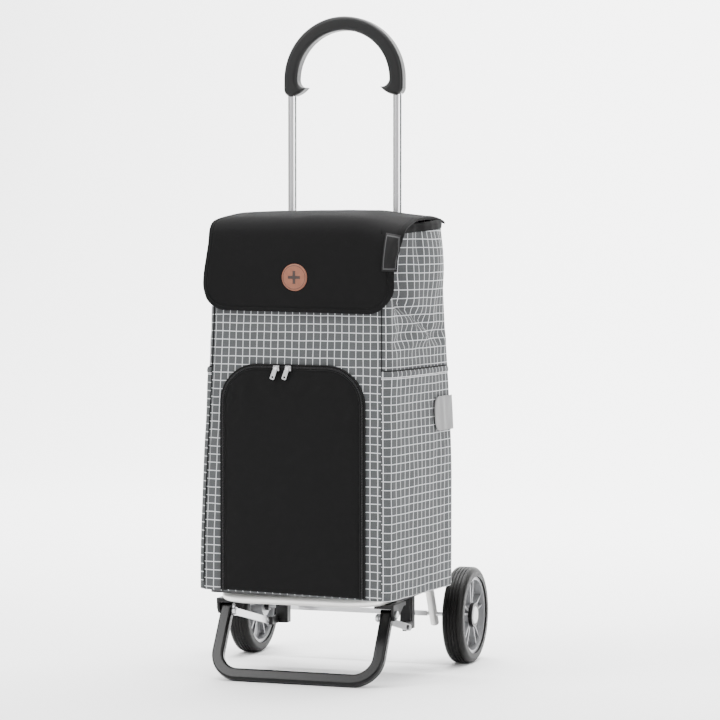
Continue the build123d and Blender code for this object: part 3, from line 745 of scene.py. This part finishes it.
# ---------------------------------------------------------------- flap
class Flap:
    """The cloth lid: from its rear edge over a soft front fold and down the bag's face."""

    CORNER = 0.040

    def __init__(self):
        lip = FLAP_LO.z + 0.0035
        top = FLAP_HI.z
        front = FLAP_LO.y
        self.spine = [
            (FLAP_HI.y + 0.0005, top - 0.0045), (FLAP_HI.y - 0.030, top + 0.001),
            (FLAP_HI.y - 0.085, top + 0.0035),
            (FLAP_HI.y - 0.145, top + 0.0015), (front + 0.050, top - 0.0035), (front + 0.023, top - 0.0095),
            (front + 0.0085, top - 0.0200), (front + 0.0015, top - 0.0360), (front - 0.002, top - 0.075),
            (front - 0.001, lip + 0.020), (front + 0.001, lip),
        ]
        self.points = self.curve(self.spine, 16)
        self.marks = [0.0]
        for a, b in zip(self.points, self.points[1:]):
            self.marks.append(self.marks[-1] + (b - a).length)
        self.length = self.marks[-1]
        self.fold = self.at_height(top - 0.034)

    @staticmethod
    def curve(knots, steps):
        """A Catmull-Rom line through the knots."""
        ends = [knots[0]] + list(knots) + [knots[-1]]
        found = []
        for k in range(len(knots) - 1):
            p0, p1, p2, p3 = (Vector(p) for p in ends[k:k + 4])
            for step in range(steps):
                t = step / steps
                found.append(0.5 * (2 * p1 + (p2 - p0) * t + (2 * p0 - 5 * p1 + 4 * p2 - p3) * t * t
                                    + (3 * p1 - p0 - 3 * p2 + p3) * t ** 3))
        return found + [Vector(knots[-1])]

    def at_height(self, z):
        for point, mark in zip(reversed(self.points), reversed(self.marks)):
            if point.y >= z:
                return mark
        return 0.0

    def spine_at(self, s):
        s = min(max(s, 0.0), self.length)
        low, high = 0, len(self.marks) - 1
        while high - low > 1:
            middle = (low + high) // 2
            if self.marks[middle] <= s:
                low = middle
            else:
                high = middle
        part = (s - self.marks[low]) / (self.marks[high] - self.marks[low])
        return self.points[low].lerp(self.points[high], part)

    def edges(self, s):
        """Left and right edge in X at the length s."""
        t = s / self.fold
        left = lerp(-0.1385, -0.1375, smooth(t)) - 0.0078 * smooth(s, self.fold, self.fold + 0.075)
        right = lerp(0.1540, 0.1645, smooth(t, 0.2, 0.92))
        right -= 0.0125 * smooth(s, self.fold - 0.022, self.fold + 0.055)
        return MID_X + left, MID_X + right

    def point(self, x, s, out=0.0):
        p = self.spine_at(s)
        ahead = self.spine_at(s + 0.002) - self.spine_at(s - 0.002)
        normal = Vector((ahead.y, -ahead.x)).normalized()
        left, right = self.edges(s)
        across = (x - left) / (right - left)
        on_top = 1 - smooth(s, self.fold - 0.05, self.fold + 0.015)
        right_end = smooth(across, 0.74, 1.0)
        left_end = 1 - smooth(across, 0.0, 0.13)
        share = s / self.fold
        droop = 0.0050 + 0.0030 * bell(share, 0.45, 0.25) + 0.0080 * smooth(share, 0.6, 0.95)
        upper = 1 - smooth(s, self.fold - 0.01, self.fold + 0.05)
        rim = (0.0030 * smooth(across, 0.97, 1.0) + 0.0030 * (1 - smooth(across, 0.0, 0.04))) * on_top
        lift = -right_end * droop * upper - left_end * 0.0015 * on_top - rim
        lift -= 0.0050 * (across - 0.5) * smooth(s, self.fold, self.length)
        crown = 0.0022 * math.sin(math.pi * min(max(across, 0), 1)) * on_top
        waves = 0.0016 * wrinkle(x, s, 9.0, 61.0) + 0.0006 * wrinkle(x, s, 26.0, 67.0)
        tuck = 0.010 * (smooth(across, 0.965, 1.0) + 0.6 * (1 - smooth(across, 0.0, 0.035))) * (1 - on_top)
        curl = 0.0012 * math.sin(x * 38) * smooth(s, self.length - 0.09, self.length)
        p = p + normal * (out + waves + crown)
        return Vector((x, p.x + tuck - curl, p.y + lift))

    def reach(self, x):
        """How far the cloth runs at X, shorter in the rounded lower corners."""
        left, right = self.edges(self.length)
        inside = min(x - left, right - x)
        if inside >= self.CORNER:
            return self.length
        gap = self.CORNER - max(inside, 0.0)
        return self.length - (self.CORNER - math.sqrt(max(self.CORNER ** 2 - gap ** 2, 0.0)))


lid = Flap()


def flap_cloth():
    rows, cols = 130, 110

    def spread(b):
        """Columns lie closer together towards the two ends."""
        return lerp(b, (1 - math.cos(math.pi * b)) / 2, 0.7)

    def point(a, b):
        share = spread(b)
        left, right = lid.edges(lid.length)
        s = a * lid.reach(lerp(left, right, share))
        left, right = lid.edges(s)
        return lid.point(lerp(left, right, share), s)

    cloth = lattice("flap_cloth", rows, cols, point, "black_fabric", thick=0.0024, offset=1.0)
    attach(cloth, "flap_cover")
    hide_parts("flap")
    return cloth


def flap_rim(inset):
    """The flap's edge line in X and length: down the left, along the bottom and up the right."""
    path = []
    for k in range(60):
        s = lerp(0.004, lid.length - Flap.CORNER, k / 59)
        path.append((lid.edges(s)[0] + inset, s))
    left, right = lid.edges(lid.length)
    radius = Flap.CORNER - inset
    for k in range(1, 16):
        turn = math.pi / 2 * k / 16
        path.append((left + inset + radius * (1 - math.cos(turn)),
                     lid.length - Flap.CORNER + radius * math.sin(turn)))
    for k in range(50):
        path.append((lerp(left + Flap.CORNER, right - Flap.CORNER, k / 49), lid.length - inset))
    for k in range(1, 16):
        turn = math.pi / 2 * (1 - k / 16)
        path.append((right - inset - radius * (1 - math.cos(turn)),
                     lid.length - Flap.CORNER + radius * math.sin(turn)))
    for k in range(60):
        s = lerp(lid.length - Flap.CORNER, 0.004, k / 59)
        path.append((lid.edges(s)[1] - inset, s))
    return path


def flap_edge():
    width = 0.0075
    shares = [k / 6 for k in range(7)]
    rims = [flap_rim(width * c - 0.0004) for c in shares]

    def point(a, b):
        c = shares[round(a * 6)]
        x, s = rims[round(a * 6)][round(b * (len(rims[0]) - 1))]
        return lid.point(x, s, 0.0004 + 0.0011 * math.sin(math.pi * lerp(0.12, 0.97, c)))

    edge = lattice("flap_edge", 7, len(rims[0]), point, "black_fabric", thick=0.0006)
    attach(edge, "flap_cover")
    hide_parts("flap_binding")
    return edge


flap_edge_piece = flap_edge()
flap_piece = flap_cloth()


def drop_normal(x, s):
    across = lid.point(x + 0.002, s) - lid.point(x - 0.002, s)
    down = lid.point(x, s + 0.002) - lid.point(x, s - 0.002)
    return down.cross(across).normalized()


def badge_piece():
    """Round leather patch with a sunk ring line and a plain debossed disc and bar in its middle."""
    radius = (BADGE_HI.x - BADGE_LO.x) / 2
    centre_x = (BADGE_LO.x + BADGE_HI.x) / 2 + 0.003
    centre_z = (BADGE_LO.z + BADGE_HI.z) / 2 - 0.001
    s_mid = lid.at_height(centre_z)
    rings, spokes = 26, 72

    def relief(r):
        share = r / radius
        if share > 0.965:
            return 0.0
        groove = 0.00055 * bell(share, 0.86, 0.022)
        return 0.0021 - groove - 0.0009 * smooth(share, 0.90, 0.965)

    vertices, faces = [], []
    for i in range(rings):
        r = radius * i / (rings - 1)
        for k in range(spokes):
            turn = 2 * math.pi * k / spokes
            x, s = centre_x + r * math.cos(turn), s_mid - r * math.sin(turn)
            vertices.append(lid.point(x, s) + drop_normal(x, s) * (relief(r) + 0.0002))
    for i in range(rings - 1):
        for k in range(spokes):
            n = (k + 1) % spokes
            faces.append((i * spokes + k, (i + 1) * spokes + k, (i + 1) * spokes + n, i * spokes + n))
    disc = new_object("badge_leather", vertices, faces, "tan_leather")
    disc.data.materials.append(MATERIALS["mark_leather"])
    for polygon in disc.data.polygons:
        ring = polygon.vertices[0] // spokes
        share = (ring + 0.5) / (rings - 1)
        turn = (polygon.vertices[0] % spokes + 0.5) / spokes * 2 * math.pi
        wide = abs(math.cos(turn)) * share < 0.46 and abs(math.sin(turn)) * share < 0.11
        tall = abs(math.cos(turn)) * share < 0.11 and abs(math.sin(turn)) * share < 0.46
        ringed = 0.84 < share < 0.88
        polygon.material_index = 1 if wide or tall or ringed else 0
    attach(disc, "flap_cover")
    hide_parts("badge")
    return disc


def label_piece():
    """Blank woven label folded over the flap's right edge, with a thin pale border."""
    low_s, high_s = lid.at_height(LABEL_HI.z + 0.010), lid.at_height(LABEL_LO.z - 0.002)
    width = LABEL_HI.x - LABEL_LO.x
    rows, cols = 28, 14

    def point(a, b):
        s = lerp(low_s, high_s, a)
        right = MID_X + lerp(0.1590, 0.1560, a)
        x = right + 0.0015 - width * (1 - b)
        inside = min(x, right - 0.0005)
        lip = max(x - right + 0.0005, 0.0)
        p = lid.point(inside, s) + drop_normal(inside, s) * 0.0026
        return p + Vector((lip, 0.45 * lip, 0))

    label = lattice("side_label_cloth", rows, cols, point, "black_tape", thick=0.0012)
    label.data.materials.append(MATERIALS["label_edge"])
    for index, polygon in enumerate(label.data.polygons):
        row, col = divmod(index, cols - 1)
        border = row in (1, rows - 3) and 0 < col < cols - 2 or col in (1, cols - 3) and 0 < row < rows - 2
        polygon.material_index = 1 if border else 0
    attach(label, "flap_cover")
    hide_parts("side_label")
    return label


badge_piece()
label_cloth = label_piece()


# ---------------------------------------------------------------- straps and closure patches
def pad_at(name, node, body, slot, bulge=0.0006):
    """A thin soft patch the size of a flat CAD one, with rounded corners and edges."""
    low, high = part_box(node)
    rows, cols = 12, 24
    middle = (low + high) / 2
    half = (high - low) / 2

    def point(a, b):
        u, v = 2 * b - 1, 2 * a - 1
        lift = (1 - u ** 8) * (1 - v ** 8) * bulge
        return Vector((middle.x + half.x * u, middle.y - lift, middle.z + half.z * v))

    patch = lattice(name, rows, cols, point, slot, thick=high.y - low.y, offset=0.0)
    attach(patch, body)
    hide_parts(node)
    return patch


pad_at("closure_loop_patch", "closure_loop", "frame", "black_tape")
pad_at("closure_hook_patch", "closure_hook", "flap_cover", "black_tape")


def band_along(name, path, x_low, x_high, slot, thick, body="frame"):
    """Webbing that follows a line of Y-Z points between two X places."""
    def point(a, b):
        p = path[round(a * (len(path) - 1))]
        return Vector((lerp(x_low, x_high, b), p[0], p[1]))

    strap = lattice(name, len(path), 9, point, slot, thick=thick, offset=0.0)
    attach(strap, body)
    return strap


def hang_straps():
    """Webbing from the bag's back panel, over the cross bar and down again."""
    strap_lo, strap_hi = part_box("hang_straps")
    bar_y, bar_z = (BAR_LO.y + BAR_HI.y) / 2, (BAR_LO.z + BAR_HI.z) / 2
    radius = (BAR_HI.z - BAR_LO.z) / 2 + 0.0012
    tail_y = BACK_Y + 0.0016
    path = [(tail_y, lerp(strap_lo.z, bar_z - 0.014, k / 10)) for k in range(11)]
    path += [(bar_y - radius * math.cos(t), bar_z + radius * math.sin(t))
             for t in (math.pi * k / 16 * 1.45 for k in range(17))]
    path += [(bar_y - 0.002, bar_z - radius - 0.004), (tail_y + 0.003, bar_z - 0.020),
             (tail_y + 0.0022, bar_z - 0.034)]
    centre = (strap_lo.x + strap_hi.x) / 2
    for hand, side in (("left", -1), ("right", 1)):
        inner, outer = centre + side * 0.032, centre + side * 0.058
        band_along(f"hang_strap_{hand}", path, min(inner, outer), max(inner, outer),
                               "black_tape", 0.0018)
    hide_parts("hang_straps")


def shelf_straps():
    strap_lo, strap_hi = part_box("shelf_straps")
    z = (strap_lo.z + strap_hi.z) / 2
    for index, y in enumerate((strap_lo.y + 0.011, strap_hi.y - 0.011)):
        def point(a, b):
            sag = 0.0012 * math.sin(math.pi * b)
            return Vector((lerp(strap_lo.x, strap_hi.x, b), y + lerp(-0.011, 0.011, a), z - sag))
        strap = lattice(f"shelf_strap_{index + 1}", 7, 50, point, "black_tape", thick=0.0018, offset=0.0)
        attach(strap, "frame")
    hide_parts("shelf_straps")


hang_straps()
shelf_straps()

# ---------------------------------------------------------------- finishes of the CAD nodes that stay
SLOT_OF = {part["node"]: part["material_slot"] for part in frame["record"]["subparts"]}
for node_name, node in frame["nodes"].items():
    if not node.hide_render:
        node.data.materials.clear()
        node.data.materials.append(MATERIALS[SLOT_OF[node_name]])


# ---------------------------------------------------------------- floor, light and camera
def stage_floor():
    """Pale floor that curves up into a backdrop behind the object."""
    bend, rise, wide, back, front = 2.0, 9.0, 14.0, 5.0, -9.0
    line = [(front, 0.0), (back - bend, 0.0)]
    line += [(back - bend + bend * math.sin(t), bend - bend * math.cos(t))
             for t in (math.pi / 2 * k / 16 for k in range(1, 17))]
    line.append((back, rise))

    def point(a, b):
        y, z = line[round(a * (len(line) - 1))]
        return Vector((lerp(-wide, wide, b), y, z))

    floor = lattice("studio_floor", len(line), 3, point, "floor_white")


def area_light(name, place, target, size, power):
    data = bpy.data.lights.new(name, "AREA")
    data.shape = "RECTANGLE"
    data.size, data.size_y = size
    data.energy = power
    light = bpy.data.objects.new(name, data)
    light.location = place
    light.rotation_euler = (Vector(target) - Vector(place)).to_track_quat("-Z", "Y").to_euler()
    bpy.context.scene.collection.objects.link(light)


def studio_light():
    world = bpy.data.worlds.new("studio_world")
    world.use_nodes = True
    backdrop = world.node_tree.nodes["Background"]
    backdrop.inputs["Color"].default_value = (1.0, 1.0, 1.0, 1.0)
    backdrop.inputs["Strength"].default_value = 0.75
    bpy.context.scene.world = world
    area_light("key_left", (-2.4, -2.6, 2.6), (0, 0, 0.45), (1.6, 2.0), 150.0)
    area_light("fill_right", (2.8, -1.6, 1.6), (0, 0, 0.4), (1.0, 2.0), 60.0)
    area_light("top", (0.0, 0.3, 3.0), (0, 0, 0.5), (2.0, 1.6), 90.0)
    area_light("backdrop_wash", (0.0, 1.6, 3.6), (0, 4.6, 1.2), (6.0, 1.0), 900.0)
    area_light("floor_wash", (0.0, -1.0, 5.0), (0, 0.5, 0.0), (5.0, 5.0), 300.0)


def photo_camera():
    azimuth, pitch = math.radians(19.24), math.radians(2.57)
    place = Vector((1.462, -4.0533, 0.670))
    level = math.cos(pitch)
    ahead = Vector((-math.sin(azimuth) * level, math.cos(azimuth) * level, -math.sin(pitch)))
    right = Vector((math.cos(azimuth), math.sin(azimuth), 0))
    up = right.cross(ahead)
    data = bpy.data.cameras.new("photo_camera")
    data.sensor_width = 36.0
    data.lens = 140.25
    camera = bpy.data.objects.new("photo_camera", data)
    camera.matrix_world = Matrix((right, up, -ahead)).transposed().to_4x4()
    camera.location = place
    bpy.context.scene.collection.objects.link(camera)
    bpy.context.scene.camera = camera


CARD_SIZE = 2.6


def dark_cards():
    """Dark panels beside the main view, so that tubes and paint have edges to reflect.

    They stand nearer than the camera does, so they block the views from the two sides.
    """
    for name, x, turn in (("card_left", -2.6, 90), ("card_right", 3.4, -90)):
        upright = (0, math.radians(turn), 0)
        bpy.ops.mesh.primitive_plane_add(size=CARD_SIZE, location=(x, 0.9, CARD_SIZE / 2), rotation=upright)
        card = bpy.context.object
        card.name = name
        card.data.materials.append(MATERIALS["card_black"])


stage_floor()
dark_cards()
studio_light()
photo_camera()
